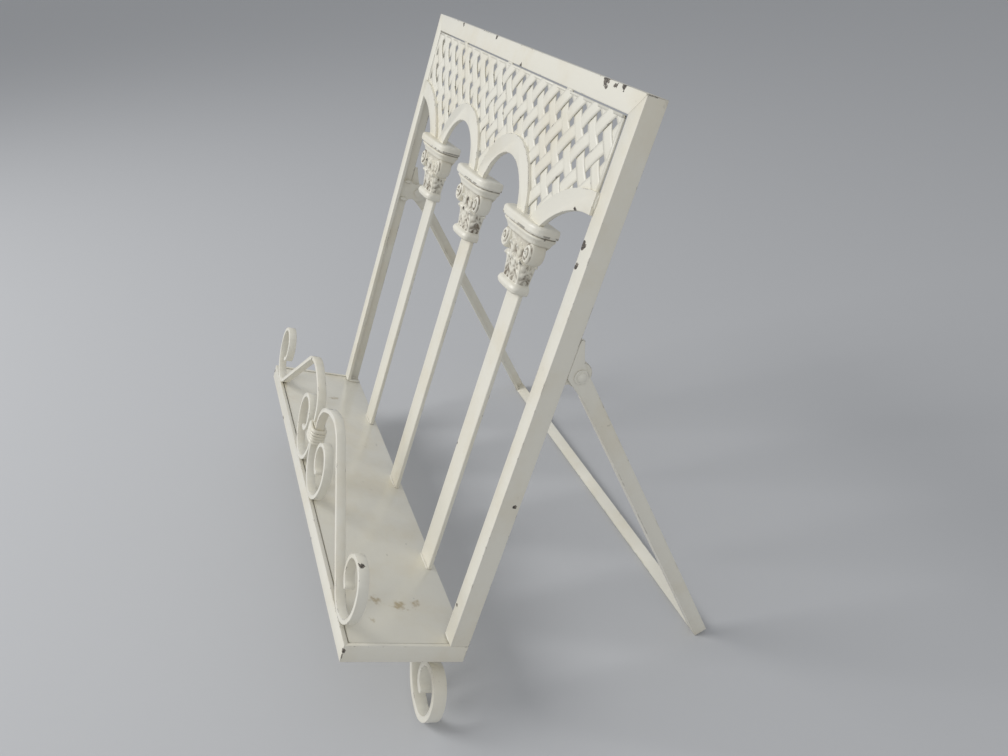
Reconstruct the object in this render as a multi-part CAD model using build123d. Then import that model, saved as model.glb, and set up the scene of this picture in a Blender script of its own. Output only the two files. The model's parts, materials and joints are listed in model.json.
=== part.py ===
from build123d import *
import math
import os

# Decorative table easel in welded iron, all sizes in millimetres.
# The panel leans back. Its pieces are drawn in panel coordinates:
# x across the panel, y up along it, z out of its front face. The place
# function then stands the panel at its lean on the floor.

os.makedirs("parts", exist_ok=True)

# Driving sizes of the frame
frame_width = 388.0
frame_height = 363.0
angle_leg = 12.7
angle_wall = 3.0
angle_root = 0.7
angle_toe = 0.6
mitre_over = 2.0
shelf_reach = 69.0

# Shelf
plate_gap = 0.8
plate_wall = 1.2
plate_drop = 0.7
rear_bar_width = 20.0

# Columns and capitals
column_spacing = 105.0
column_width = 20.0
column_wall = 3.0
column_front = -6.0
column_seat = 3.0
head_height = 138.0
capital_height = 43.5
abacus_width = 54.0
abacus_depth = 17.0
abacus_slab = 5.6
groove_height = 0.8
neck_width = 27.0
neck_depth = 11.6
neck_height = 6.0
bell_height = 27.5
bell_depth = 11.0
volute_start = 19.0
volute_depth = 16.3

# Arches and lattice
arch_spring_gap = 5.0
arch_drop = 7.5
arch_band = 12.5
side_arch_drop = 52.5
side_arch_foot = 2.8
side_arch_inset = 2.7
arch_front = 2.0
arch_wall = 3.2
lattice_wall = 1.0
lattice_relief = 0.5
lattice_side_gap = 2.4
lattice_top_gap = 1.0
lattice_pitch = 19.7
lattice_offset = 2.6
lattice_hole = 7.0
lattice_border = 1.0
lattice_tab = 8.0

# Scrolls
scroll_wall = 3.2
scroll_depth = 6.5
foot_wall = 4.0
foot_depth = 9.0
foot_front = 6.0
foot_inset = 94.0
front_rise = 16.8
crest_radius = 35.0
coil_radius = 25.7
coil_inset = 29.0
c_scroll_straight = 15.8
collar_rise = 29.3
collar_coils = 5
collar_coil = 3.0
collar_wall = 2.8

# Strut and hinges
pivot_height = 209.0
pivot_offset = 8.3
strut_angle = 43.0
strut_length = 248.0
leg_width = 9.5
leg_flange_wall = 2.5
leg_flange_start = 17.0
leg_gap = 0.3
stop_gap = 0.2
wedge_height = 22.0
bar_wall = 3.0
bracket_wall = 3.0
bracket_height = 16.0
bracket_nose = 6.8
rivet_radius = 2.5
rivet_clearance = 0.08
washer_radius = 4.6
washer_wall = 0.8
washer_gap = 0.15
rivet_head_radius = 3.3
rivet_head_height = 2.0
rivet_tail_radius = 3.9
rivet_tail_height = 1.4

# Derived sizes
half_width = frame_width / 2
inner_x = half_width - angle_leg
leg_wall = angle_wall - leg_gap
shelf_top = angle_leg - plate_drop
capital_bottom = frame_height - head_height
capital_top = capital_bottom + capital_height
column_back = column_front - column_wall
arch_x = column_spacing / 2
arch_centre = capital_top - arch_drop
arch_outer = (column_spacing - arch_spring_gap) / 2
arch_inner = arch_outer - arch_band
side_arch_centre_x = inner_x + side_arch_inset
side_arch_centre = capital_top - side_arch_drop
side_arch_outer = math.hypot(side_arch_centre_x - column_spacing - side_arch_foot, side_arch_drop)
side_arch_inner = side_arch_outer - arch_band
lattice_x = half_width - angle_leg - lattice_side_gap
lattice_top = frame_height - angle_leg - lattice_top_gap
lattice_back = arch_front - arch_wall
lean_s = math.sin(math.radians(strut_angle))
lean_c = math.cos(math.radians(strut_angle))
collar_bottom = angle_leg + collar_rise
pivot_back = angle_leg + pivot_offset
foot_spot = (half_width - foot_inset, -foot_wall / 2)
foot_moves = [17.0, (24.3, -41.3), 41.0, (41.0, 39.6), (17.4, 113), (17.5, 98), (10.9, 90), (9.0, 60)]
side_plane = Plane(origin=(0, 0, 0), x_dir=(0, 1, 0), z_dir=(1, 0, 0))


def panel_slab(face, back, depth):
    """Outline in the panel plane, from z = back forward by depth."""
    return Pos(0, 0, back) * extrude(face, depth, dir=(0, 0, 1))


def side_slab(face, x0, x1):
    """Outline in panel height and depth, from x0 across to x1."""
    return Pos(x0, 0, 0) * extrude(side_plane * face, x1 - x0, dir=(1, 0, 0))


def walk(start, heading, moves):
    """Centre line as edges: a move is a length, or a radius with a turn in degrees."""
    x, y = start
    h = heading
    steps = []
    for move in moves:
        if isinstance(move, tuple):
            radius, turn = move
            side = 1 if turn > 0 else -1
            cx = x - side * radius * math.sin(math.radians(h))
            cy = y + side * radius * math.cos(math.radians(h))
            steps.append(("arc", cx, cy, radius, side, h, turn))
            h += turn
            x = cx + side * radius * math.sin(math.radians(h))
            y = cy - side * radius * math.cos(math.radians(h))
        else:
            steps.append(("line", x, y, move, 0, h, 0))
            x += move * math.cos(math.radians(h))
            y += move * math.sin(math.radians(h))
    return steps, (x, y), h


def side_edges(steps, offset):
    """Edges of the walked line moved sideways by the offset, to its left."""
    edges = []
    for kind, x, y, size, side, h, turn in steps:
        if kind == "line":
            nx = -math.sin(math.radians(h)) * offset
            ny = math.cos(math.radians(h)) * offset
            dx = size * math.cos(math.radians(h))
            dy = size * math.sin(math.radians(h))
            edges.append(Line((x + nx, y + ny), (x + dx + nx, y + dy + ny)))
        else:
            radius = size - side * offset
            spots = []
            for part in (0, 0.5, 1):
                a = math.radians(h + turn * part)
                spots.append((x + side * radius * math.sin(a), y - side * radius * math.cos(a)))
            edges.append(ThreePointArc(*spots))
    return edges


def bent_strip(start, heading, moves, wall, depth, back):
    """Flat strip bent on edge along the walked line, its far end rounded."""
    steps, end, last = walk(start, heading, moves)
    left = side_edges(steps, wall / 2)
    right = side_edges(steps, -wall / 2)
    tip = (end[0] + wall / 2 * math.cos(math.radians(last)), end[1] + wall / 2 * math.sin(math.radians(last)))
    cap = ThreePointArc(left[-1] @ 1, tip, right[-1] @ 1)
    tail = Line(right[0] @ 0, left[0] @ 0)
    return panel_slab(make_face(Curve() + left + right + [cap, tail]), back, depth)


def lowest(start, heading, moves):
    """Lowest height that the walked centre line reaches."""
    steps, end, last = walk(start, heading, moves)
    return (Curve() + side_edges(steps, 0)).bounding_box().min.Y


def angle_profile():
    """Section of the angle iron with its outer corner at the origin."""
    outline = Polyline(
        (0, 0),
        (angle_leg, 0),
        (angle_leg, angle_wall),
        (angle_wall, angle_wall),
        (angle_wall, angle_leg),
        (0, angle_leg),
        close=True,
    )
    face = make_face(outline)
    root = face.vertices().sort_by_distance((angle_wall, angle_wall))[0]
    face = fillet(root, angle_root)
    toes = face.vertices().filter_by(
        lambda v: abs(v.X - angle_leg) < 0.01 and v.Y > 1 or abs(v.Y - angle_leg) < 0.01 and v.X > 1
    )
    return fillet(toes, angle_toe)


def angle_bar(corner, flange, run, length):
    """Angle iron from its outer corner, the first flange along flange, drawn out along run."""
    plane = Plane(origin=corner, x_dir=flange, z_dir=run)
    return extrude(plane * angle_profile(), length, dir=run)


def mitre(far_y):
    """Outline that cuts both ends of a cross rail at 45 degrees, its long side outward."""
    out = half_width + mitre_over
    into = inner_x - mitre_over
    side = 1 if far_y > 0 else -1
    long_y = far_y + side * mitre_over
    short_y = far_y - side * (angle_leg + mitre_over)
    return Polyline((-out, long_y), (out, long_y), (into, short_y), (-into, short_y), close=True)


def block(x0, x1, y0, y1, z0, z1):
    return Pos((x0 + x1) / 2, (y0 + y1) / 2, (z0 + z1) / 2) * Box(x1 - x0, y1 - y0, z1 - z0)


def top_zone():
    """Space of the top rail inside its mitres."""
    return panel_slab(make_face(mitre(frame_height)), -angle_leg - mitre_over, angle_leg + 2 * mitre_over)


def front_zone():
    """Space of the front rail inside its mitres."""
    plane = Plane(origin=(0, -mitre_over, 0), x_dir=(1, 0, 0), z_dir=(0, -1, 0))
    return extrude(plane * make_face(mitre(shelf_reach)), angle_leg + 2 * mitre_over, dir=(0, 1, 0))


def stile():
    """Right stile, standing on the side rail and mitred at the top."""
    bar = angle_bar((half_width, frame_height, 0), (-1, 0, 0), (0, -1, 0), frame_height - angle_leg)
    return bar - top_zone()


def top_rail():
    """Top rail, mitred at both ends, its flange turned back along the top."""
    bar = angle_bar((half_width, frame_height, 0), (0, 0, -1), (-1, 0, 0), frame_width)
    return bar & top_zone()


def side_rail():
    """Right side rail of the shelf, its flange turned in under the plate."""
    bar = angle_bar((half_width, 0, shelf_reach), (-1, 0, 0), (0, 0, -1), shelf_reach + angle_leg)
    return bar - front_zone()


def front_rail():
    """Front rail of the shelf, mitred into the side rails."""
    bar = angle_bar((-half_width, 0, shelf_reach), (0, 0, -1), (1, 0, 0), frame_width)
    return bar & front_zone()


def rear_bar():
    """Flat bar between the side rails that carries the feet and the back of the plate."""
    return block(-inner_x, inner_x, 0, angle_wall, -angle_leg, -angle_leg + rear_bar_width)


def shelf_plate():
    """Sheet tray with its lips turned down, dropped into the shelf rails."""
    x = half_width - angle_wall - plate_gap
    front = shelf_reach - angle_wall - plate_gap
    outer = block(-x, x, angle_wall, shelf_top, -angle_leg, front)
    edges = outer.edges().filter_by(Axis.Y).group_by(Axis.Z)[-1]
    outer = fillet(edges, 2.0)
    inner = block(
        -x + plate_wall,
        x - plate_wall,
        angle_wall - 1,
        shelf_top - plate_wall,
        -angle_leg + plate_wall,
        front - plate_wall,
    )
    return outer - inner


def column():
    """Flat bar column from the shelf plate up into the back of its capital."""
    half = column_width / 2
    bar = block(-half, half, shelf_top, capital_top - column_seat, column_back, column_front)
    return chamfer(bar.edges().filter_by(Axis.Y).group_by(Axis.Z)[-1], 0.5)


def leaf(width, height, bulge):
    """Acanthus leaf standing on the origin, lobed at its sides, its tip curling forward."""
    w = width / 2
    outline = Polyline(
        (-w * 0.8, 0),
        (-w, height * 0.32),
        (-w * 0.65, height * 0.42),
        (-w * 0.95, height * 0.68),
        (0, height),
        (w * 0.95, height * 0.68),
        (w * 0.65, height * 0.42),
        (w, height * 0.32),
        (w * 0.8, 0),
        close=True,
    )
    blade = panel_slab(make_face(outline), -bulge, 3 * bulge)
    bend = (height * 0.6, bulge * 0.7)
    side = Curve() + [
        Polyline((height, -bulge), (0, -bulge), (0, bulge * 0.5), bend),
        ThreePointArc(bend, (height * 0.86, bulge * 1.5), (height, bulge * 0.9)),
        Line((height, bulge * 0.9), (height, -bulge)),
    ]
    return blade & side_slab(make_face(side), -w, w)


def volute():
    """Corner volute: a strip that rises from the bell and curls under the abacus."""
    moves = [(12.0, -38), (5.5, -180), (3.5, -160)]
    return bent_strip((6.4, capital_bottom + volute_start), 82.0, moves, 2.0, volute_depth, column_back)


def level(height):
    """Plan plane at a height, its depth counted backward from the column's back."""
    return Plane(origin=(0, height, column_back), x_dir=(1, 0, 0), z_dir=(0, 1, 0))


def plan_block(width, depth):
    """Plan of a block that stands out in front of the column's back plane."""
    return Pos(0, -depth / 2) * Rectangle(width, depth)


def round_front(part, radius):
    """Rounds the level edges of a block, apart from those on the column's back plane."""
    edges = part.edges().filter_by(lambda e: e.center().Z > column_back + 0.1 and abs(e.tangent_at(0).Y) < 0.1)
    return fillet(edges, radius)


def capital():
    """Corinthian capital: neck ring, leafed bell, corner volutes and moulded abacus."""
    back = column_back
    half_neck = neck_width / 2
    bell_low = capital_bottom + neck_height
    bell_high = bell_low + bell_height
    waist = bell_low + 0.45 * bell_height
    slab_low = capital_top - abacus_slab
    half = abacus_width / 2
    body = round_front(block(-half_neck, half_neck, capital_bottom, bell_low, back, back + neck_depth), 2.4)
    waist_plan = level(waist) * plan_block(neck_width - 3.4, bell_depth + 1.2)
    body += loft([level(bell_low) * plan_block(neck_width - 4.0, bell_depth), waist_plan])
    bell_plan = level(bell_high) * plan_block(abacus_width - 20.0, bell_depth + 4)
    body += loft([waist_plan, bell_plan])
    throat = level(bell_high - 1.5) * plan_block(abacus_width - 17.0, abacus_depth - 5.0)
    lip = level(slab_low - groove_height) * plan_block(abacus_width - 4.0, abacus_depth - 2.4)
    body += loft([throat, lip])
    groove = level(slab_low - groove_height) * plan_block(abacus_width - 6.0, abacus_depth - 3.6)
    body += extrude(groove, groove_height, dir=(0, 1, 0))
    body += round_front(block(-half, half, slab_low, capital_top, back, back + abacus_depth), 2.2)
    curl = volute()
    body += curl
    body += mirror(curl, Plane.YZ)
    front = back + bell_depth
    for x, turn in ((-7.6, 5), (0, 0), (7.6, -5)):
        body += Pos(x, bell_low, front) * Rot(4, 0, turn) * leaf(8.0, 13.5, 2.6)
    for x in (-4.6, 4.6):
        body += Pos(x, bell_low + 9.0, front + 0.6) * Rot(8, 0, -x) * leaf(7.0, 12.5, 2.6)
    slot_half = column_width / 2
    slot_top = capital_top - column_seat
    return body - block(-slot_half, slot_half, capital_bottom - 1, slot_top, back - 1, column_front)


def above_capitals(face):
    """Keeps the part of a flat outline above the abacus tops and inside the stiles."""
    window = Pos(0, (capital_top + frame_height) / 2) * Rectangle(2 * inner_x, frame_height - capital_top)
    return face & window


def full_arch():
    """Round arch over the right middle bay."""
    ring = Pos(arch_x, arch_centre) * (Circle(arch_outer) - Circle(arch_inner))
    return panel_slab(above_capitals(ring), lattice_back, arch_wall)


def half_arch():
    """Quarter arch over the right side bay, dying into the stile."""
    spot = Pos(side_arch_centre_x, side_arch_centre)
    ring = spot * (Circle(side_arch_outer) - Circle(side_arch_inner))
    left = Pos(column_spacing + inner_x / 2, frame_height / 2) * Rectangle(inner_x, frame_height)
    return panel_slab(above_capitals(ring & left), lattice_back, arch_wall)


def clear_of_arches(x, y, size):
    """True where a spot of this size lies wholly on the lattice sheet."""
    for side in (-1, 1):
        if math.hypot(x - side * arch_x, y - arch_centre) < arch_outer + size:
            return False
        if math.hypot(x - side * side_arch_centre_x, y - side_arch_centre) < side_arch_outer + size:
            return False
    inside = abs(x) + size < lattice_x - lattice_border
    return inside and capital_top + 1 < y - size and y + size < lattice_top


def lattice():
    """Basket weave sheet above the arches, cut round them, with raised over-strips."""
    height = lattice_top - capital_top
    sheet = Pos(0, capital_top + height / 2) * Rectangle(2 * lattice_x, height)
    for side in (-1, 1):
        sheet -= Pos(side * arch_x, arch_centre) * Circle(arch_outer)
        sheet -= Pos(side * side_arch_centre_x, side_arch_centre) * Circle(side_arch_outer)
    step = lattice_pitch / 2
    reach = lattice_hole * math.sqrt(0.5)
    top_row = lattice_top - lattice_border - reach
    strip_width = step * math.sqrt(2) - lattice_hole
    pad = Rectangle(step * math.sqrt(2), strip_width - 1.0)
    columns = int(lattice_x / step) + 1
    holes = []
    pads = []
    for row in range(int(height / step) + 1):
        y = top_row - row * step
        for k in range(-columns, columns + 1):
            x = k * step + lattice_offset
            is_hole = (row + k) % 2 == 1
            if is_hole and clear_of_arches(x, y, reach):
                holes.append(Pos(x, y) * Rot(0, 0, 45) * Rectangle(lattice_hole, lattice_hole))
            if not is_hole and clear_of_arches(x, y, 0):
                turn = 45 if row % 2 == 0 else -45
                pads.append(Pos(x, y) * Rot(0, 0, turn) * pad)
    relief = (Sketch() + pads) & sheet
    sheet -= holes
    part = panel_slab(sheet, lattice_back, lattice_wall)
    part += panel_slab(relief, lattice_back + lattice_wall / 2, lattice_wall / 2 + lattice_relief)
    half_tab = lattice_tab / 2
    for x in (-column_spacing, 0, column_spacing):
        part += block(x - half_tab, x + half_tab, lattice_top - 1, lattice_top + lattice_top_gap, lattice_back, 0)
    return part


def front_scroll():
    """Right half of the retaining scroll: up from the collar, down the slope, into its eye.

    The slope is the inner tangent of the crest and of the coil that stands on the rail.
    """
    start = (1.5 * scroll_wall, collar_bottom)
    moves = [front_rise, (21.5, -60), (74.8, -22.5)]
    steps, (x, y), heading = walk(start, 90.0, moves)
    dx = half_width - coil_inset - x - crest_radius * math.sin(math.radians(heading))
    dy = angle_leg + scroll_wall / 2 + coil_radius - y + crest_radius * math.cos(math.radians(heading))
    both = crest_radius + coil_radius
    slope = math.degrees(math.asin(both / math.hypot(dx, dy)) - math.atan2(dy, dx))
    moves += [(crest_radius, -heading - slope), math.sqrt(dx**2 + dy**2 - both**2)]
    moves += [(coil_radius, slope + 101), (17.7, 111), (14.0, 77), (9.4, 60)]
    return bent_strip(start, 90.0, moves, scroll_wall, scroll_depth, shelf_reach - scroll_depth)


def c_scroll():
    """Right C scroll: down from the collar, round on the rail and into its eye."""
    top = collar_bottom + collar_coils * collar_coil
    reach = top - c_scroll_straight - angle_leg - scroll_wall / 2
    moves = [c_scroll_straight, (reach, 112), (31.0, 52), (18.0, 75), (17.0, 80), (11.5, 95), (8.0, 50)]
    start = (0.5 * scroll_wall, top)
    return bent_strip(start, -90.0, moves, scroll_wall, scroll_depth, shelf_reach - scroll_depth)


def collar():
    """Wrapped collar that binds the four scroll ends at the middle."""
    half_x = 2 * scroll_wall
    back = shelf_reach - scroll_depth
    out = half_x + collar_wall
    part = None
    for k in range(collar_coils):
        y0 = collar_bottom + k * collar_coil
        coil = block(-out, out, y0, y0 + collar_coil, back - collar_wall, shelf_reach + collar_wall)
        coil = chamfer(coil.edges().filter_by(Axis.Y), 1.4)
        rims = coil.edges().filter_by(lambda e: abs(e.center().Y - y0 - collar_coil / 2) > 1)
        coil = chamfer(rims, 0.7)
        part = coil if part is None else part + coil
    return part - block(-half_x, half_x, 0, 200, back, shelf_reach)


def foot_scroll():
    """Right foot: welded flat under the rear bar, down its slope and into a coil."""
    return bent_strip(foot_spot, 0.0, foot_moves, foot_wall, foot_depth, foot_front - foot_depth)


def strut_point(along, across):
    """Panel height and depth of a spot on the strut, measured down the leg from the pivot."""
    y = pivot_height - along * lean_c + across * lean_s
    z = -pivot_back - along * lean_s - across * lean_c
    return (y, z)


def strut_outline(start, end, low, high):
    """Outline of a straight run of the strut."""
    return Polyline(
        strut_point(start, low),
        strut_point(end, low),
        strut_point(end, high),
        strut_point(start, high),
        close=True,
    )


def at_pivot(x):
    """Place on the hinge line, its local z axis along x."""
    return Pos(x, pivot_height, -pivot_back) * Rot(0, 90, 0)


def strut_leg():
    """Right strut leg: flat wedge at the hinge that bears on the stile, angle section below."""
    inner = half_width - leg_wall
    rest = -angle_leg - stop_gap
    nose = pivot_back - angle_leg - stop_gap
    half = leg_width / 2
    a = math.radians(strut_angle / 2)
    shoulder = (pivot_height - nose * math.sin(a), -pivot_back + nose * math.cos(a))
    outline = Curve() + [
        Line((pivot_height + wedge_height, rest), (pivot_height, rest)),
        ThreePointArc(
            (pivot_height, rest),
            (pivot_height - nose * math.sin(a / 2), -pivot_back + nose * math.cos(a / 2)),
            shoulder,
        ),
        Line(shoulder, strut_point(leg_flange_start, -half)),
        Line(strut_point(leg_flange_start, -half), strut_point(strut_length, -half)),
        Line(strut_point(strut_length, -half), strut_point(strut_length, half)),
        Line(strut_point(strut_length, half), strut_point(8.0, half)),
    ]
    crown = (pivot_height + wedge_height, rest - 2.4)
    outline += [
        Spline(
            strut_point(8.0, half),
            (pivot_height + 4.5, -pivot_back - 2.0),
            crown,
            tangents=[(lean_c, lean_s), (0.94, 0.34)],
        ),
        Line(crown, (pivot_height + wedge_height, rest)),
    ]
    plate = side_slab(make_face(outline), inner, half_width)
    flange = side_slab(
        make_face(strut_outline(leg_flange_start, strut_length, -half, -half + leg_flange_wall)),
        half_width - leg_width,
        inner,
    )
    hole = at_pivot(half_width) * Cylinder(rivet_radius + rivet_clearance, 4 * leg_wall)
    return plate + flange - hole


def cross_bar():
    """Flat bar between the strut legs, its front edge on the floor."""
    half = leg_width / 2
    inner = half_width - leg_wall
    start = strut_length - bar_wall
    bar = side_slab(make_face(strut_outline(start, strut_length, -half, half)), -inner, inner)
    notch = make_face(strut_outline(start - 1, strut_length + 1, -half - 1, -half + leg_flange_wall))
    bar -= side_slab(notch, half_width - leg_width, inner)
    bar -= side_slab(notch, -inner, leg_width - half_width)
    return bar


def hinge_bracket():
    """Right hinge plate, welded inside the stile, its round nose behind it."""
    outer = half_width - angle_wall
    y0 = pivot_height - bracket_height / 2
    y1 = pivot_height + bracket_height / 2
    front = -angle_wall - angle_root
    tangent = math.sqrt((bracket_height / 2) ** 2 - bracket_nose**2)
    nose = Curve() + [
        Polyline((y1, -angle_leg), (y1, front), (y0, front), (y0, -angle_leg)),
        Line((y0, -angle_leg), (pivot_height - bracket_nose, -pivot_back + tangent)),
        ThreePointArc(
            (pivot_height - bracket_nose, -pivot_back + tangent),
            (pivot_height, -pivot_back - math.hypot(bracket_nose, tangent)),
            (pivot_height + bracket_nose, -pivot_back + tangent),
        ),
        Line((pivot_height + bracket_nose, -pivot_back + tangent), (y1, -angle_leg)),
    ]
    plate = side_slab(make_face(nose), outer - bracket_wall, outer)
    return plate - at_pivot(outer) * Cylinder(rivet_radius, 4 * bracket_wall)


def washer():
    """Washer under the head of the right rivet."""
    x0 = half_width + washer_gap
    ring = Cylinder(washer_radius, washer_wall) - Cylinder(rivet_radius, washer_wall * 3)
    ring = chamfer(ring.edges().group_by(Axis.Z)[-1].sort_by(SortBy.LENGTH)[-1], 0.3)
    return at_pivot(x0 + washer_wall / 2) * ring


def rivet():
    """Right hinge rivet: shank through bracket and leg, domed head outside, flat tail inside."""
    head_x = half_width + washer_gap + washer_wall
    tail_x = half_width - angle_wall - bracket_wall
    shank = Pos(0, 0, (head_x + tail_x) / 2) * Cylinder(rivet_radius, head_x - tail_x)
    ball = (rivet_head_radius**2 + rivet_head_height**2) / (2 * rivet_head_height)
    head = Pos(0, 0, head_x + rivet_head_height - ball) * Sphere(ball)
    head &= Pos(0, 0, head_x + rivet_head_height / 2) * Box(20, 20, rivet_head_height)
    tail = Pos(0, 0, tail_x - rivet_tail_height / 2) * Cylinder(rivet_tail_radius, rivet_tail_height)
    tail = chamfer(tail.edges().group_by(Axis.Z)[0], 0.4)
    return at_pivot(0) * (shank + head + tail)


# The lean puts the strut foot and the foot coils on one floor
foot_y, foot_z = strut_point(strut_length, -leg_width / 2)
coil_y = lowest(foot_spot, 0.0, foot_moves) - foot_wall / 2
coil_z = foot_front - foot_depth
lean = math.degrees(math.atan2(foot_y - coil_y, coil_z - foot_z))
turn_x = 90.0 - lean
floor_drop = coil_y * math.cos(math.radians(lean)) + coil_z * math.sin(math.radians(lean))


def depth_of(y, z):
    """World depth of a panel spot before centring."""
    return y * math.sin(math.radians(lean)) - z * math.cos(math.radians(lean))


front_edge = depth_of(0, shelf_reach)
back_edge = depth_of(*strut_point(strut_length, leg_width / 2))
middle = (front_edge + back_edge) / 2


def place(part):
    """Panel coordinates to the standing easel, floor at z = 0."""
    return Pos(0, -middle, -floor_drop) * Rot(turn_x, 0, 0) * part


def save(name, part):
    placed = place(part)
    placed.label = name
    export_step(placed, "parts/" + name + ".step")
    print(name, round(placed.volume, 1))


def save_pair(name, part):
    save(name + "_right", part)
    save(name + "_left", mirror(part, Plane.YZ))


save("top_rail", top_rail())
save_pair("stile", stile())
save("shelf_front_rail", front_rail())
save_pair("shelf_rail", side_rail())
save("shelf_rear_bar", rear_bar())
save("shelf_plate", shelf_plate())
one_column = column()
one_capital = capital()
for side_name, x in (("left", -column_spacing), ("centre", 0), ("right", column_spacing)):
    save("column_" + side_name, Pos(x, 0, 0) * one_column)
    save("capital_" + side_name, Pos(x, 0, 0) * one_capital)
save_pair("arch", full_arch())
save_pair("half_arch", half_arch())
save("lattice_panel", lattice())
save_pair("front_scroll", front_scroll())
save_pair("c_scroll", c_scroll())
save("scroll_collar", collar())
save_pair("foot_scroll", foot_scroll())
save_pair("hinge_bracket", hinge_bracket())
save_pair("hinge_washer", washer())
save_pair("hinge_rivet", rivet())
save_pair("strut_leg", strut_leg())
save("strut_cross_bar", cross_bar())
print("lean", round(lean, 2), "pivot", place(Pos(0, pivot_height, -pivot_back) * Sphere(1)).center())
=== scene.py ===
# %% [markdown]
# A small table easel of welded angle iron, painted cream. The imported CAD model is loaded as
# a fixed frame of reference, so every new piece can be built in place, in metres, and ride
# on the body that carries it: the frame, or the folding strut behind it.

# %% Load the frame
import json
import math

import bmesh
import bpy
from mathutils import Matrix, Vector, noise


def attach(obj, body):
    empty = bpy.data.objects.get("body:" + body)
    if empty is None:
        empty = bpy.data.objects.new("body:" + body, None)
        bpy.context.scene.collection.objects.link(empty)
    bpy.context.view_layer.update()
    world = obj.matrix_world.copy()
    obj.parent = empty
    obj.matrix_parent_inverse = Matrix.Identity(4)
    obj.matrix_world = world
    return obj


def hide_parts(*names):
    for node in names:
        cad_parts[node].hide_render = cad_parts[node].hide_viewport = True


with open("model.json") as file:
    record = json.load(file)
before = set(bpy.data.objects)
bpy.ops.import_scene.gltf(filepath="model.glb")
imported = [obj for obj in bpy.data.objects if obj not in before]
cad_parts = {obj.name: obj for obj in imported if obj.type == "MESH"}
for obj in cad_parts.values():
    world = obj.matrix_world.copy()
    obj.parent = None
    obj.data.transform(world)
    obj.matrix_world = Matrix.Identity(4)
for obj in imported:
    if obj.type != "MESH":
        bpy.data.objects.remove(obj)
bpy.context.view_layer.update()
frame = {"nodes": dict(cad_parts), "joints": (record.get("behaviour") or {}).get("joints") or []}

# %% [markdown]
# The panel of the easel leans back. It is much easier to think in the panel's own
# coordinates: x across, y up along the stiles and z out of the front face, in millimetres.
# The hinge line is known in both systems, and so is the lean, which gives the change
# between them. Every helper below takes panel coordinates and returns metres.

# %% Panel coordinates
# The hinge line's y and z in the panel, the panel's lean from upright, and each column's x
PIVOT = (209.0, -21.0)
LEAN = math.radians(21.319)
COLUMNS = {"left": -105.0, "centre": 0.0, "right": 105.0}
MILLIMETRE = 0.001
joint = frame["joints"][0]
hinge = Vector(joint["pos_m"])


def panel_matrix():
    """Panel millimetres to metres on the table."""
    turn = Matrix.Rotation(math.pi / 2 - LEAN, 4, "X")
    scale = Matrix.Scale(MILLIMETRE, 4)
    at = turn @ scale @ Vector((0, PIVOT[0], PIVOT[1]))
    return Matrix.Translation(hinge - at) @ turn @ scale


PANEL = panel_matrix()
print("panel origin", [round(v, 4) for v in PANEL @ Vector((0, 0, 0))])

# %% [markdown]
# The photograph was taken from the right, a little above the top rail. The camera's place
# and its three axes were solved in panel coordinates from the frame's own straight edges,
# so the camera is set with one matrix whose columns are right, up and back.

# %% Camera
PHOTO_WIDTH = 1008
FOCAL_PIXELS = 877.8
SENSOR = 36.0
camera_data = bpy.data.cameras.new("camera")
camera = bpy.data.objects.new("camera", camera_data)
bpy.context.scene.collection.objects.link(camera)
camera_data.sensor_width = SENSOR
camera_data.lens = SENSOR * FOCAL_PIXELS / PHOTO_WIDTH
right = Vector((0.32203, 0.29912, -0.89823))
up = Vector((-0.44759, 0.88415, 0.13396))
eye = Vector((592.7, 373.1, 225.1))
turn = PANEL.to_3x3().normalized()
back = right.cross(up)
axes = Matrix([turn @ right, turn @ up, turn @ back]).transposed()
camera.matrix_world = Matrix.Translation(PANEL @ eye) @ axes.to_4x4()
camera_data.clip_start = 0.01
camera_data.clip_end = 300
bpy.context.scene.camera = camera
print("camera", [round(v, 3) for v in camera.location], "lens", round(camera_data.lens, 2))

# %% [markdown]
# The easel stands on a wide sheet of grey paper under two soft boxes and an even sky. The
# lamps are weak enough that the cream paint keeps its colour.

# %% Floor and light
FLOOR_REACH = 60.0
LIT_POINT = (0, 0, 0.2)
bm = bmesh.new()
bmesh.ops.create_grid(bm, x_segments=1, y_segments=1, size=FLOOR_REACH)
floor_mesh = bpy.data.meshes.new("floor")
bm.to_mesh(floor_mesh)
bm.free()
floor = bpy.data.objects.new("floor", floor_mesh)
bpy.context.scene.collection.objects.link(floor)
floor_paint = bpy.data.materials.new("floor_paper")
floor_paint.use_nodes = True
paper = floor_paint.node_tree.nodes["Principled BSDF"]
paper.inputs["Base Color"].default_value = (0.54, 0.545, 0.555, 1)
paper.inputs["Roughness"].default_value = 0.9
floor_mesh.materials.append(floor_paint)
world = bpy.data.worlds.new("studio")
bpy.context.scene.world = world
world.use_nodes = True
sky = world.node_tree.nodes["Background"]
sky.inputs["Color"].default_value = (0.75, 0.77, 0.8, 1)
sky.inputs["Strength"].default_value = 0.58
bpy.context.scene.view_settings.view_transform = "Standard"


def lamp(name, place, target, size, power):
    """A square soft box that points at the target."""
    data = bpy.data.lights.new(name, "AREA")
    data.size = size
    data.energy = power
    item = bpy.data.objects.new(name, data)
    bpy.context.scene.collection.objects.link(item)
    item.location = place
    item.rotation_mode = "QUATERNION"
    item.rotation_quaternion = (Vector(target) - Vector(place)).to_track_quat("-Z", "Y")


lamp("key", (-0.55, -1.7, 1.5), LIT_POINT, 1.1, 27)
lamp("side", (1.9, -0.3, 1.3), LIT_POINT, 1.2, 5)
print("floor and two lamps")

# %% [markdown]
# Shader maths reads best as plain Python. One class holds a socket and turns +, - and * into
# Math nodes. Another holds the material's node tree and adds every other node through one
# method, which takes the node's settings first and then its inputs.

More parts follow.
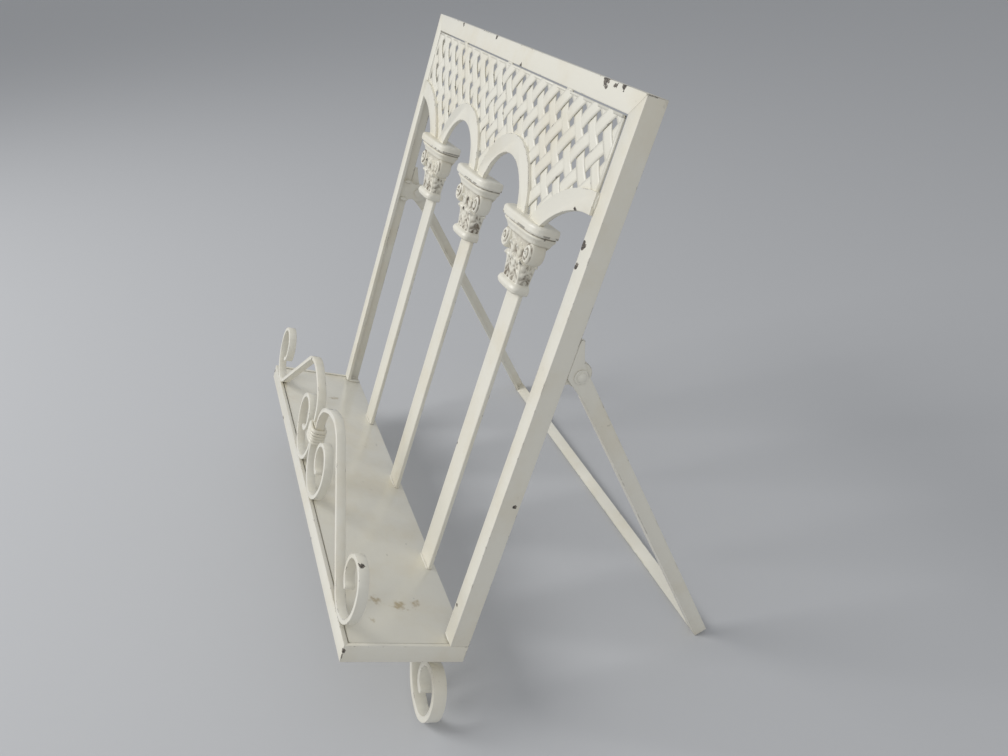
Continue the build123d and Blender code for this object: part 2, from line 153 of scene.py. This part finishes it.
# %% Socket arithmetic
# A Mix node's colour sockets share their names with its other sockets, so they go by number
MIX_UNDER = 6
MIX_OVER = 7
MIX_RESULT = 2


class Value:
    """A socket that can be used in Python sums."""

    def __init__(self, board, socket):
        self.board = board
        self.socket = socket

    def maths(self, operation, first, second):
        """One Math node."""
        return self.board.add("ShaderNodeMath", {"operation": operation}, {0: first, 1: second})

    def larger(self, other):
        """The larger of the two at every point."""
        return self.maths("MAXIMUM", self, other)

    def __add__(self, other):
        return self.maths("ADD", self, other)

    def __radd__(self, other):
        return self.maths("ADD", other, self)

    def __sub__(self, other):
        return self.maths("SUBTRACT", self, other)

    def __rsub__(self, other):
        return self.maths("SUBTRACT", other, self)

    def __mul__(self, other):
        return self.maths("MULTIPLY", self, other)

    def __rmul__(self, other):
        return self.maths("MULTIPLY", other, self)

    def rise(self, low, high):
        """Smooth step from 0 at low to 1 at high."""
        settings = {"interpolation_type": "SMOOTHSTEP"}
        inputs = {"Value": self, "From Min": low, "From Max": high}
        return self.board.add("ShaderNodeMapRange", settings, inputs)


class Board:
    """The node tree of one material."""

    def __init__(self, name):
        self.material = bpy.data.materials.new(name)
        self.material.use_nodes = True
        self.tree = self.material.node_tree
        self.shader = self.tree.nodes["Principled BSDF"]

    def add(self, kind, settings, inputs, output=0):
        """A new node, given back as the value of one of its outputs."""
        node = self.tree.nodes.new(kind)
        for key, value in settings.items():
            setattr(node, key, value)
        for key, value in inputs.items():
            self.put(node.inputs[key], value)
        return Value(self, node.outputs[output])

    def put(self, socket, value):
        """Links a value to a socket, or sets the socket to a plain number or colour."""
        if isinstance(value, Value):
            self.tree.links.new(value.socket, socket)
        else:
            socket.default_value = value

    def noise(self, place, scale, detail, rough):
        """A noise texture between 0 and 1."""
        inputs = {"Vector": place, "Scale": scale, "Detail": detail, "Roughness": rough}
        return self.add("ShaderNodeTexNoise", {}, inputs)

    def blend(self, mask, under, over):
        """Colour under where the mask is 0, over where it is 1."""
        inputs = {"Factor": mask, MIX_UNDER: under, MIX_OVER: over}
        return self.add("ShaderNodeMix", {"data_type": "RGBA"}, inputs, MIX_RESULT)


print("socket arithmetic ready")

# %% [markdown]
# The whole easel is one metal under one paint: a thick cream enamel, put on by brush and
# worn with age. The paint varies a little from warm to grey, is rubbed thin along the
# corners, has chipped down to dark iron in short ragged runs, and carries faint brown stains.
# Carved pieces are darkened brown in their hollows: painted shade mixed with dirt. The Bevel
# node finds the corners of plain bars, and a narrower one finds a thin dark line along them,
# dirt that is drawn darker on the arches as a painted shadow where they stand proud of the
# sheet behind. Carved pieces carry their own relief on the mesh, as an attribute from 0 in
# the hollows to 1 on the crests, which the paint reads directly.

# %% Cream enamel
CREAM = (0.82, 0.79, 0.69, 1)
WARM = (0.775, 0.72, 0.585, 1)
GREYED = (0.69, 0.68, 0.625, 1)
# Brown of dirt, used also for painted shade in hollows and along corner lines
DIRT_AND_SHADE = (0.20, 0.165, 0.12, 1)
IRON = (0.045, 0.038, 0.032, 1)
PRIMER = (0.27, 0.235, 0.19, 1)
RUST = (0.46, 0.36, 0.20, 1)
# Where paint is struck off and where rust has seeped: panel points, each with a radius
ARCH_CHIP = ((164, 294, 2), 4)
CHIPS = [
    ((148, 363, -1), 7), ((168, 363, -1), 6.5), ((158, 361, 0), 4), ((-123, 363, -1), 6),
    ((178, 62.5, 66), 6), ((184, 38, 0), 4), ((183.5, 280, 0), 5), ((183, 268, 0), 4),
    ((95.5, 106, -6), 2.4), ARCH_CHIP, ((25, 84, 66), 5), ((-60, 84, 66), 5),
    ((193.5, 9, 69), 3), ((-193, 7, 69), 3), ((-88, 363, -8), 6), ((-194, 190, -6), 4),
    ((194, 120, -9), 3), ((70, -1, 69), 4), ((-110, -1, 69), 5), ((-115, 150, -6), 2.5),
    ((60, 84, 66), 4), ((183.5, 222, -6), 5), ((20, 350, 0), 4), ((-40, 363, 0), 4),
]
STAINS = [
    ((149, 12, 40), 9), ((155, 12, 25), 10), ((152, 12, 14), 8), ((169, 12, 46), 6),
    ((-140, 12, 20), 9),
]
BEVEL_SAMPLES = 6


def edge_mask(board, radius, low, high):
    """1 along the corners of a bar, 0 on its flats."""
    soft = board.add("ShaderNodeBevel", {"samples": BEVEL_SAMPLES}, {"Radius": radius})
    true = board.add("ShaderNodeNewGeometry", {}, {}, "Normal")
    dot = board.add("ShaderNodeVectorMath", {"operation": "DOT_PRODUCT"}, {0: soft, 1: true}, "Value")
    return (1 - dot).rise(low, high)


def ragged_spots(board, place, ragged, low, high, places):
    """1 near any of the panel points, its edge broken by the noise.

    The distance is in metres and the radius in millimetres, so 500 / radius turns the
    distance into half of a number of radii.
    """
    most = 0.0
    for spot, radius in places:
        ends = {0: place, 1: PANEL @ Vector(spot)}
        away = board.add("ShaderNodeVectorMath", {"operation": "DISTANCE"}, ends, "Value")
        hit = (0.5 - away * (500 / radius) + ragged).rise(low, high)
        most = hit.larger(most)
    return most


def enamel(name, chips, carved=False, roughness=0.24, dents=0.3, dirt_and_shade_rim=0.8, chipped=(), stains=()):
    """Cream enamel over iron.

    Chips is how much of a corner is bare, dents how deep the broad waves are and the rim
    value how dark the thin line along a corner is: dirt, and painted shadow on the arches
    where it is set higher. Chipped and stains list points with their radii.
    """
    board = Board(name)
    place = board.add("ShaderNodeTexCoord", {}, {}, "Object")
    # Broad patches, specks, a fine grain, and the ragged runs that chips follow
    patch = board.noise(place, 24.0, 4.0, 0.6)
    speck = board.noise(place, 210.0, 4.0, 0.65)
    fine = board.noise(place, 900.0, 3.0, 0.5)
    runs = board.noise(place, 46.0, 5.0, 0.72)
    if carved:
        relief = board.add("ShaderNodeAttribute", {"attribute_name": "relief"}, {}, "Fac")
        edge = relief.rise(0.72, 0.95)
        # Painted shade with dirt: darker in the low parts of the relief, in patches
        dirt_and_shade = (1 - relief.rise(0.12, 0.42)) * (speck + runs).rise(0.72, 1.12)
    else:
        edge = edge_mask(board, 0.0012, 0.012, 0.11)
        # A thin dark line along the corners: dirt, and painted shadow where the rim value is raised
        line = edge_mask(board, 0.0007, 0.02, 0.16) * (runs + patch * 0.6).rise(0.80, 0.92) * dirt_and_shade_rim
        stain = speck.rise(0.60, 0.74) * patch.rise(0.55, 0.72) * 0.35
        dirt_and_shade = line.larger(stain)
    chip = edge * (runs + speck * 0.45).rise(0.925 - 0.2 * chips, 0.94 - 0.2 * chips)
    spot = board.noise(place, 120.0, 2.0, 0.4).rise(0.765, 0.79) * patch.rise(0.45, 0.6)
    bare = chip.larger(spot)
    if chipped:
        struck = ragged_spots(board, place, runs * 0.7 + speck * 0.8, 1.0, 1.025, chipped)
        bare = bare.larger(struck)
    colour = board.blend(patch.rise(0.42, 0.72) * 0.75, CREAM, WARM)
    colour = board.blend(edge * (0.25 + 0.35 * speck), colour, GREYED)
    if stains:
        seeped = ragged_spots(board, place, runs * 0.6 + speck * 0.9, 0.98, 1.3, stains)
        colour = board.blend(seeped * 0.8, colour, RUST)
    # Brown in the hollows, along the corner lines and in the stains: dirt, with painted shade in the
    # hollows and on the arches' lines
    colour = board.blend(dirt_and_shade, colour, DIRT_AND_SHADE)
    colour = board.blend(bare, colour, board.blend(fine.rise(0.44, 0.6) * 0.8, IRON, PRIMER))
    board.put(board.shader.inputs["Base Color"], colour)
    board.put(board.shader.inputs["Roughness"], roughness + patch * 0.16 + bare * 0.35 + dirt_and_shade * 0.2)
    height = patch * dents + speck * 0.10 + fine * 0.05 - bare * 0.5
    bump = board.add("ShaderNodeBump", {}, {"Height": height, "Distance": 0.0006, "Strength": 0.55})
    board.put(board.shader.inputs["Normal"], bump)
    board.shader.inputs["Specular IOR Level"].default_value = 0.55
    print("enamel", name, len(board.tree.nodes), "nodes")
    return board.material


bar_paint = enamel("enamel_bars", 0.55, dents=0.5, chipped=CHIPS)
sheet_paint = enamel("enamel_shelf_sheet", 0.3, roughness=0.1, dents=1.6, stains=STAINS)
cast_paint = enamel("enamel_cast_capitals", 0.75, carved=True, roughness=0.3)
weave_paint = enamel("enamel_woven_sheet", 0.65, carved=True, roughness=0.3)
# The arches' stronger corner line is a painted shadow where they stand proud of the sheet behind
arch_paint = enamel("enamel_arches", 0.8, dents=0.5, dirt_and_shade_rim=1.7, chipped=[ARCH_CHIP])
weld_paint = enamel("enamel_welds", 0.2, roughness=0.28)
hinge_paint = enamel("enamel_hinges", 0.9, roughness=0.3)

# %% [markdown]
# Real bar stock has slightly rounded corners, and thick paint rounds them more. The CAD
# solids are crisp, so each one is copied, its loose triangles are merged and its flats
# dissolved, and a Bevel modifier rounds the corners by a few tenths of a millimetre.

# %% Softened bars
# The widths of the rounded corners and the distance at which vertices merge, in metres. An
# edge flatter than the first angle dissolves, one sharper than the second is rounded.
BAR_ROUND = 0.00035
THIN_ROUND = 0.00022
SHEET_ROUND = 0.0003
HINGE_ROUND = 0.00015
MERGE = 1e-6
FLAT = math.radians(0.6)
SHARP = math.radians(32)


def shown(name, mesh, body, material, nodes=()):
    """Makes the object of a mesh, rides it on its body and hides the CAD nodes it stands for."""
    mesh.materials.append(material)
    mesh.shade_smooth()
    item = bpy.data.objects.new(name, mesh)
    bpy.context.scene.collection.objects.link(item)
    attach(item, body)
    if nodes:
        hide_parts(*nodes)
    return item


def softened(node, body, material, width):
    """A CAD node with its corners rounded."""
    bm = bmesh.new()
    bm.from_mesh(frame["nodes"][node].data)
    bmesh.ops.remove_doubles(bm, verts=bm.verts, dist=MERGE)
    bmesh.ops.dissolve_limit(bm, angle_limit=FLAT, verts=bm.verts, edges=bm.edges)
    mesh = bpy.data.meshes.new(node + "_soft")
    bm.to_mesh(mesh)
    bm.free()
    item = shown(node + "_soft", mesh, body, material, [node])
    bevel = item.modifiers.new("rounded", "BEVEL")
    bevel.width = width
    bevel.segments = 2
    bevel.limit_method = "ANGLE"
    bevel.angle_limit = SHARP
    bevel.harden_normals = True


SOFT = {
    "frame": ["top_rail", "stile_left", "stile_right", "shelf_front_rail", "shelf_rail_left",
              "shelf_rail_right", "shelf_rear_bar", "column_left", "column_centre", "column_right"],
    "ornament": ["front_scroll_left", "front_scroll_right", "c_scroll_left", "c_scroll_right",
                 "foot_scroll_left", "foot_scroll_right"],
    "lattice": ["half_arch_left", "arch_left", "arch_right", "half_arch_right"],
}
for slot_name, names in SOFT.items():
    paint = arch_paint if slot_name == "lattice" else bar_paint
    width = BAR_ROUND if slot_name == "frame" else THIN_ROUND
    for node in names:
        softened(node, "frame", paint, width)
softened("shelf_plate", "frame", sheet_paint, SHEET_ROUND)
for side in ("left", "right"):
    softened("strut_leg_" + side, "strut", bar_paint, SHEET_ROUND)
    for part in ("bracket", "washer", "rivet"):
        softened("hinge_%s_%s" % (part, side), "frame", hinge_paint, HINGE_ROUND)
softened("strut_cross_bar", "strut", bar_paint, SHEET_ROUND)

# %% [markdown]
# The panel over the arches is a sheet pressed like basket work: ribbons at 45 degrees, each
# going over one and under the next, with a square hole wherever four of them meet. Each
# ribbon is a fine grid bent into a wave. The ones that lean right start over where the ones
# that lean left start under. The lot is cut to the sheet's outline with four planes, the
# faces well inside the arches go, and solidify gives the ribbons their thickness. Flat
# strips close the sides and the top, and one over each column reaches up to the rail.

# %% Woven ribbons
# The spacing of the crossings, the sheet's outline, and the row and shift the weave keeps
STEP = 9.85
SHEET_X = 178.9
SHEET_LOW = 268.5
SHEET_TOP = 349.3
SHEET_MIDDLE = (SHEET_LOW + SHEET_TOP) / 2
TOP_ROW = SHEET_TOP - 1.0 - 4.95
SHIFT = 2.6
# A ribbon's size and depth, the height of its wave and crown, and its slant
RIBBON_LONG = 128.0
RIBBON_WIDE = 9.0
RIBBON_THICK = 0.45
RIBBON_Z = -0.3
WAVE_TALL = 0.28
CROWN_TALL = 0.12
SLANT = math.sqrt(0.5)
# How many ribbons are tried to each side, and how far beyond the sheet one may be centred
RIBBONS = 30
RIBBON_REACH = 62
# The middle and radius of each arch, and how far the sheet reaches inside it
ARCHES = [(-184.0, 216.0, 92.5), (-52.5, 261.0, 50.0), (52.5, 261.0, 50.0), (184.0, 216.0, 92.5)]
TUCK = 1.2
# Two opposite corners of each flat strip, then the depth, thickness and relief of them all
STRIPS = [
    ((-SHEET_X, 302.0), (-176.4, SHEET_TOP)),
    ((176.4, 302.0), (SHEET_X, SHEET_TOP)),
    ((-SHEET_X, 347.7), (SHEET_X, SHEET_TOP)),
]
STRIPS += [((x - 4, 349.0), (x + 4, 350.3)) for x in COLUMNS.values()]
STRIP_Z = -0.45
STRIP_THICK = 1.1
STRIP_RELIEF = 0.6


def ribbon(bm, relief, lean_side, offset):
    """One ribbon through the height of the sheet, its wave following the rows of crossings."""
    grid = bmesh.ops.create_grid(bm, x_segments=84, y_segments=4, size=0.5)["verts"]
    for vert in grid:
        along = vert.co.x * RIBBON_LONG
        across = vert.co.y * RIBBON_WIDE
        edge = abs(vert.co.y * 2)
        y = SHEET_MIDDLE + along * SLANT * lean_side
        wave = lean_side * math.cos(math.pi * (TOP_ROW - y) / STEP)
        crown = CROWN_TALL * edge ** 4
        # Relief drops where the ribbon dips under the crossing one, so the paint darkens it there as
        # painted shade, and rises on the edges of its raised parts
        vert[relief] = 0.5 + 0.2 * min(0.0, wave) + 0.45 * edge ** 6 * max(0.0, wave)
        vert.co.z = RIBBON_Z + WAVE_TALL * math.copysign(abs(wave) ** 0.6, wave) - crown
        vert.co.x = offset + lean_side * SHEET_MIDDLE + (along - lean_side * across) * SLANT
        vert.co.y = y + across * SLANT


def inside_arch(spot):
    """Whether a point of the sheet is in the open part of an arch."""
    return any(math.hypot(spot.x - x, spot.y - y) < r - TUCK for x, y, r in ARCHES)


bm = bmesh.new()
relief = bm.verts.layers.float.new("relief")
count = 0
for m in range(-RIBBONS, RIBBONS + 1):
    for lean_side in (1, -1):
        offset = SHIFT - lean_side * TOP_ROW + 2 * STEP * m
        if abs(offset + lean_side * SHEET_MIDDLE) < SHEET_X + RIBBON_REACH:
            ribbon(bm, relief, lean_side, offset)
            count += 1
for spot, way in (((SHEET_X, 0, 0), (1, 0, 0)), ((-SHEET_X, 0, 0), (-1, 0, 0)),
                  ((0, SHEET_TOP, 0), (0, 1, 0)), ((0, SHEET_LOW, 0), (0, -1, 0))):
    geom = bm.verts[:] + bm.edges[:] + bm.faces[:]
    bmesh.ops.bisect_plane(bm, geom=geom, plane_co=spot, plane_no=way, clear_outer=True)
hidden = [face for face in bm.faces if inside_arch(face.calc_center_median())]
bmesh.ops.delete(bm, geom=hidden, context="FACES")
bmesh.ops.recalc_face_normals(bm, faces=bm.faces)
bmesh.ops.solidify(bm, geom=bm.faces, thickness=RIBBON_THICK)
for low, high in STRIPS:
    strip = bmesh.ops.create_cube(bm, size=1.0)["verts"]
    for vert in strip:
        vert[relief] = STRIP_RELIEF
    extent = Vector((high[0] - low[0], high[1] - low[1], STRIP_THICK))
    centre = Vector(((low[0] + high[0]) / 2, (low[1] + high[1]) / 2, STRIP_Z))
    bmesh.ops.scale(bm, vec=extent, verts=strip)
    bmesh.ops.translate(bm, vec=centre, verts=strip)
bmesh.ops.transform(bm, matrix=PANEL, verts=bm.verts)
bmesh.ops.recalc_face_normals(bm, faces=bm.faces)
woven = bpy.data.meshes.new("woven_panel")
bm.to_mesh(woven)
bm.free()
shown("woven_panel", woven, "frame", weave_paint, ["lattice_panel"])
print("ribbons", count, "faces", len(woven.polygons))

# %% [markdown]
# The capitals are cast. One is modelled from a cube cut into a fine grid. Its grid lines are
# first pushed to the plan of each level, from the neck ring up the flaring bell to the
# moulded abacus. Then the acanthus leaves are raised from the bell as relief, with lobes, a
# middle rib and a tip that curls out. The grid is fine enough that the relief is real
# geometry, so it casts its own small shadows.

# %% Plan of each level
# Height, half width and depth of each level, in millimetres
LEVELS = [
    (0.0, 12.4, 9.6), (0.9, 13.6, 11.0), (3.0, 14.2, 11.8), (5.0, 13.6, 11.0), (6.0, 11.8, 9.2),
    (7.0, 11.6, 8.9), (18.0, 12.8, 9.6), (27.0, 16.2, 10.6), (30.6, 18.8, 11.4), (31.2, 20.2, 12.6),
    (32.0, 20.6, 12.8), (32.3, 21.2, 13.2), (34.4, 22.8, 14.0), (36.2, 25.2, 15.4), (37.0, 26.0, 15.8),
    (37.3, 24.6, 14.4), (37.9, 24.6, 14.4), (38.2, 26.8, 16.9), (38.9, 27.3, 17.4), (42.2, 27.3, 17.4),
    (43.1, 26.8, 16.8), (43.5, 26.0, 16.0),
]


def plan_at(height):
    """Half width and depth of the capital at a height."""
    for low, high in zip(LEVELS, LEVELS[1:]):
        if height <= high[0]:
            part = (height - low[0]) / (high[0] - low[0])
            return [a + (b - a) * part for a, b in zip(low[1:], high[1:])]
    return LEVELS[-1][1:]


# %% [markdown]
# A leaf is a height over its own little map: s runs across it from its middle rib and t up
# it from 0 at the root to 1 at the tip. Its edge is scalloped into lobes, and the ribs of
# the lobes fan out from the middle one.

# %% Acanthus leaves
# Middle, foot, height and half width of each leaf in millimetres, and the lobes of an edge
LEAVES = [(s, 6.2, 14.5, 5.2) for s in (-19.5, -9.8, 0.0, 9.8, 19.5)]
LEAVES += [(s, 13.5, 15.0, 5.0) for s in (-15.0, -4.9, 4.9, 15.0)]
LOBES = 3.4


def leaf_height(s, t, half):
    """Relief of one leaf in millimetres."""
    if not 0.0 < t < 1.0:
        return 0.0
    edge = half * (0.62 + 0.5 * math.sin(math.pi * min(1.0, t * 0.95)) ** 0.7) * (1.0 - t ** 6)
    edge *= 1.0 + 0.2 * math.cos(2 * math.pi * LOBES * t + 0.6)
    if abs(s) >= edge:
        return 0.0
    across = abs(s) / edge
    body = 1.15 * (1.0 - across ** 3) * (0.45 + 0.7 * t)
    rib = 0.45 * math.exp(-((s / 0.55) ** 2))
    ripple = math.cos(2 * math.pi * (LOBES * t - 0.9 * across))
    fan = 0.38 * ripple * min(1.0, 3 * across) * (1 - across ** 4)
    curl = 1.9 * math.exp(-(((t - 0.88) / 0.1) ** 2)) * (1.0 - across ** 2)
    return body + rib + fan + curl


def bell_relief(s, height):
    """The highest leaf at one place on the bell."""
    return max(
        leaf_height(s - middle, (height - foot) / tall, half)
        for middle, foot, tall, half in LEAVES
    )


print("leaves", len(LEAVES))

# %% [markdown]
# At the upper corners of the bell a volute curls under the abacus. It is a short round
# block, a sphere squared off towards a cylinder, whose front carries a spiral ridge: its
# height follows the angle less the radius, so the crest winds inwards. The casting is then
# made a tenth taller and turned a few degrees off the panel, as all three are in the photo.

# %% Volutes and cast body
# A volute's middle and half sizes, and how often its ridge winds round
VOLUTE_AT = (16.4, 26.4, 6.3)
VOLUTE_SIZE = (5.3, 6.9, 5.9)
WINDS = 2.3
# The cuts of the grid, the height, how square the plan is, and where and how deep the bell is
GRID_CUTS = 88
CAPITAL_TALL = LEVELS[-1][0]
SQUARENESS = 4.5
BELL_LOW = 6.1
BELL_TOP = 32.0
BELL_SUNK = 0.5
STRETCH = 1.1
CAPITAL_TURN = math.radians(4.5)
TURN_CENTRE = (0, 0, 5)


def volute(bm, side):
    """One corner volute, its spiral facing forward."""
    relief = bm.verts.layers.float["relief"]
    ball = bmesh.ops.create_uvsphere(bm, u_segments=64, v_segments=44, radius=1.0)["verts"]
    for vert in ball:
        x, y, z = vert.co
        ring = math.hypot(x, y)
        square = 1.0 / (ring ** 4 + abs(z) ** 4) ** 0.25
        x, y, z, ring = x * square, y * square, z * square, ring * square
        angle = math.atan2(y, -side * x)
        ridge = 0.5 + 0.5 * math.cos(angle - 2 * math.pi * ring * WINDS)
        eye = math.exp(-((ring / 0.2) ** 2))
        front = max(0.0, z) ** 3 * max(0.0, min(1.0, (1.06 - ring) * 6))
        # Relief is low in the groove between the turns of the ridge, where the paint puts painted
        # shade with dirt
        vert[relief] = 0.55 + front * (0.9 * ridge + 0.5 * eye - 0.75)
        bulge = front * (1.1 * ridge + 0.9 * eye - 0.6)
        vert.co.x = side * VOLUTE_AT[0] + x * VOLUTE_SIZE[0]
        vert.co.y = VOLUTE_AT[1] + y * VOLUTE_SIZE[1]
        vert.co.z = VOLUTE_AT[2] + z * VOLUTE_SIZE[2] + bulge


def cast_body(bm):
    """Neck ring, leafed bell and abacus of one capital, its flat back at z = 0."""
    bmesh.ops.create_cube(bm, size=2.0)
    bmesh.ops.subdivide_edges(bm, edges=bm.edges, cuts=GRID_CUTS, use_grid_fill=True)
    for vert in bm.verts:
        u, v, w = vert.co.x, (vert.co.y + 1) / 2, (vert.co.z + 1) / 2
        height = CAPITAL_TALL * v
        half, depth = plan_at(height)
        rounded = (abs(u) ** SQUARENESS + w ** SQUARENESS) ** (1 / SQUARENESS)
        corner = max(abs(u), w) / max(0.01, rounded)
        vert.co = (half * u * corner, height, depth * w * corner)
    bm.normal_update()
    relief = bm.verts.layers.float["relief"]
    moves = []
    for vert in bm.verts:
        x, y, z = vert.co
        half, depth = plan_at(y)
        around = math.copysign(abs(x) + max(0.0, 0.7 * depth - z), x)
        raised = 0.0
        groove = math.exp(-(((y - 37.6) / 0.45) ** 2))
        crest = 38.6 < y < 39.6
        # Relief is low in the abacus groove and around and between the leaves, where the paint puts
        # painted shade with dirt, and high on the crest
        vert[relief] = 0.55 - 0.5 * groove + 0.3 * crest
        if BELL_LOW < y < BELL_TOP and z > 0.6:
            raised = bell_relief(around, y) - BELL_SUNK
            leafless = raised == -BELL_SUNK
            vert[relief] = 0.31 if leafless else 0.02 + 0.33 * (raised + BELL_SUNK)
        rough = 0.16 * noise.noise(vert.co * 0.35) + 0.07 * noise.noise(vert.co * 1.7)
        moves.append(vert.normal * (raised + (rough if z > 0.3 else 0.0)))
    for vert, move in zip(bm.verts, moves):
        vert.co += move


casting = bmesh.new()
casting.verts.layers.float.new("relief")
cast_body(casting)
for side in (-1, 1):
    volute(casting, side)
turned = Matrix.Rotation(CAPITAL_TURN, 3, "Y")
bmesh.ops.scale(casting, vec=(1.0, STRETCH, 1.0), verts=casting.verts)
bmesh.ops.rotate(casting, cent=TURN_CENTRE, matrix=turned, verts=casting.verts)
bmesh.ops.recalc_face_normals(casting, faces=casting.faces)
print("casting", len(casting.faces), "faces")

# %% [markdown]
# The three capitals came from one mould, so the casting is copied to the top of each column.

# %% Three capitals
COLUMN_TOP = 225.0
COLUMN_BACK = -9.0
for name, across in COLUMNS.items():
    bm = casting.copy()
    bmesh.ops.translate(bm, vec=(across, COLUMN_TOP, COLUMN_BACK), verts=bm.verts)
    bmesh.ops.transform(bm, matrix=PANEL, verts=bm.verts)
    mesh = bpy.data.meshes.new("carved_capital_" + name)
    bm.to_mesh(mesh)
    bm.free()
    shown("carved_capital_" + name, mesh, "frame", cast_paint, ["capital_" + name])
print("capitals", len(COLUMNS))

# %% [markdown]
# The four scroll ends are bound at the middle by a rod wound round them five times. A curve
# that climbs as it goes round a rectangle with rounded corners, with a round bevel, is a
# wound rod.

# %% Wound collar
# The rod's radius in metres, its turns, the foot and height of the coil, and its plan
ROD_RADIUS = 0.00148
TURNS = 5
COLLAR_LOW = 43.4
COLLAR_TALL = 11.9
PLAN = [
    (-7.9, 61.1), (0, 60.6), (7.9, 61.1), (8.1, 65.7),
    (7.9, 70.4), (0, 70.9), (-7.9, 70.4), (-8.1, 65.7),
]


def wound_rod():
    """The turns of rod round the scroll ends."""
    data = bpy.data.curves.new("wound_collar", "CURVE")
    data.dimensions = "3D"
    data.bevel_depth = ROD_RADIUS
    data.bevel_resolution = 5
    data.resolution_u = 6
    line = data.splines.new("NURBS")
    line.points.add(TURNS * len(PLAN) - 1)
    for k, point in enumerate(line.points):
        x, z = PLAN[k % len(PLAN)]
        y = COLLAR_LOW + COLLAR_TALL * k / (len(line.points) - 1)
        point.co = (*(PANEL @ Vector((x, y, z))), 1.0)
    line.order_u = 3
    line.use_endpoint_u = True
    data.use_fill_caps = True
    return data


rod = bpy.data.objects.new("wound_collar", wound_rod())
rod.data.materials.append(bar_paint)
bpy.context.scene.collection.objects.link(rod)
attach(rod, "frame")
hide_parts("scroll_collar")
print("collar wound")

# %% [markdown]
# Everything is welded, and the beads show as smooth lumps under the paint. A bead is a
# sphere stretched along its seam, with ripples where each drop of weld froze and a little
# noise. All of them together are one mesh on the frame.

# %% Weld beads
def bead(bm, start, end, radius):
    """A bead from one panel point to another."""
    start, end = Vector(start), Vector(end)
    run = end - start
    ball = bmesh.ops.create_icosphere(bm, subdivisions=4, radius=1.0)["verts"]
    turn = run.to_track_quat("X", "Z").to_matrix()
    seed = Vector((start.x, start.y, end.z)) * 0.37
    for vert in ball:
        x, y, z = vert.co
        ripple = 1 + 0.07 * math.cos(x * run.length * 2.6) + 0.24 * noise.noise(vert.co * 2.1 + seed)
        local = Vector((x * (run.length / 2 + radius * 0.6), y * radius * ripple, z * radius * ripple))
        vert.co = (start + end) / 2 + turn @ local


# The start, end and radius of each bead, in millimetres
SEAMS = []
for side in (-1, 1):
    SEAMS += [
        ((side * 186.0, 217.5, -6.5), (side * 188.5, 217.0, -12.0), 1.5),
        ((side * 186.5, 201.0, -6.0), (side * 188.5, 200.6, -12.3), 1.7),
        ((side * 193.2, 13.2, -1.0), (side * 182.5, 13.2, -0.2), 0.9),
        ((side * 181.6, 13.0, -1.5), (side * 181.6, 13.0, -12.0), 1.1),
        ((side * 181.4, 299.5, 0.2), (side * 181.4, 307.5, 0.2), 1.0),
        ((side * 165.3, 12.6, 62.9), (side * 160.0, 12.6, 63.1), 0.9),
        ((side * 23.0, 12.6, 63.0), (side * 29.0, 12.6, 63.0), 0.9),
        ((side * 2.6, 270.0, -0.2), (side * 6.0, 269.0, -0.2), 1.0),
        ((side * 99.0, 269.2, -0.2), (side * 111.0, 269.2, -0.2), 1.0),
    ]
for x in COLUMNS.values():
    SEAMS += [
        ((x - 9.0, 12.2, -5.6), (x + 9.0, 12.2, -5.6), 0.8),
        ((x - 8.0, 224.6, -6.0), (x + 8.0, 224.6, -6.0), 1.0),
    ]
bm = bmesh.new()
for start, end, radius in SEAMS:
    bead(bm, start, end, radius)
bmesh.ops.transform(bm, matrix=PANEL, verts=bm.verts)
bmesh.ops.recalc_face_normals(bm, faces=bm.faces)
welds = bpy.data.meshes.new("weld_beads")
bm.to_mesh(welds)
bm.free()
shown("weld_beads", welds, "frame", weld_paint)
print("beads", len(SEAMS), "faces", len(welds.polygons))
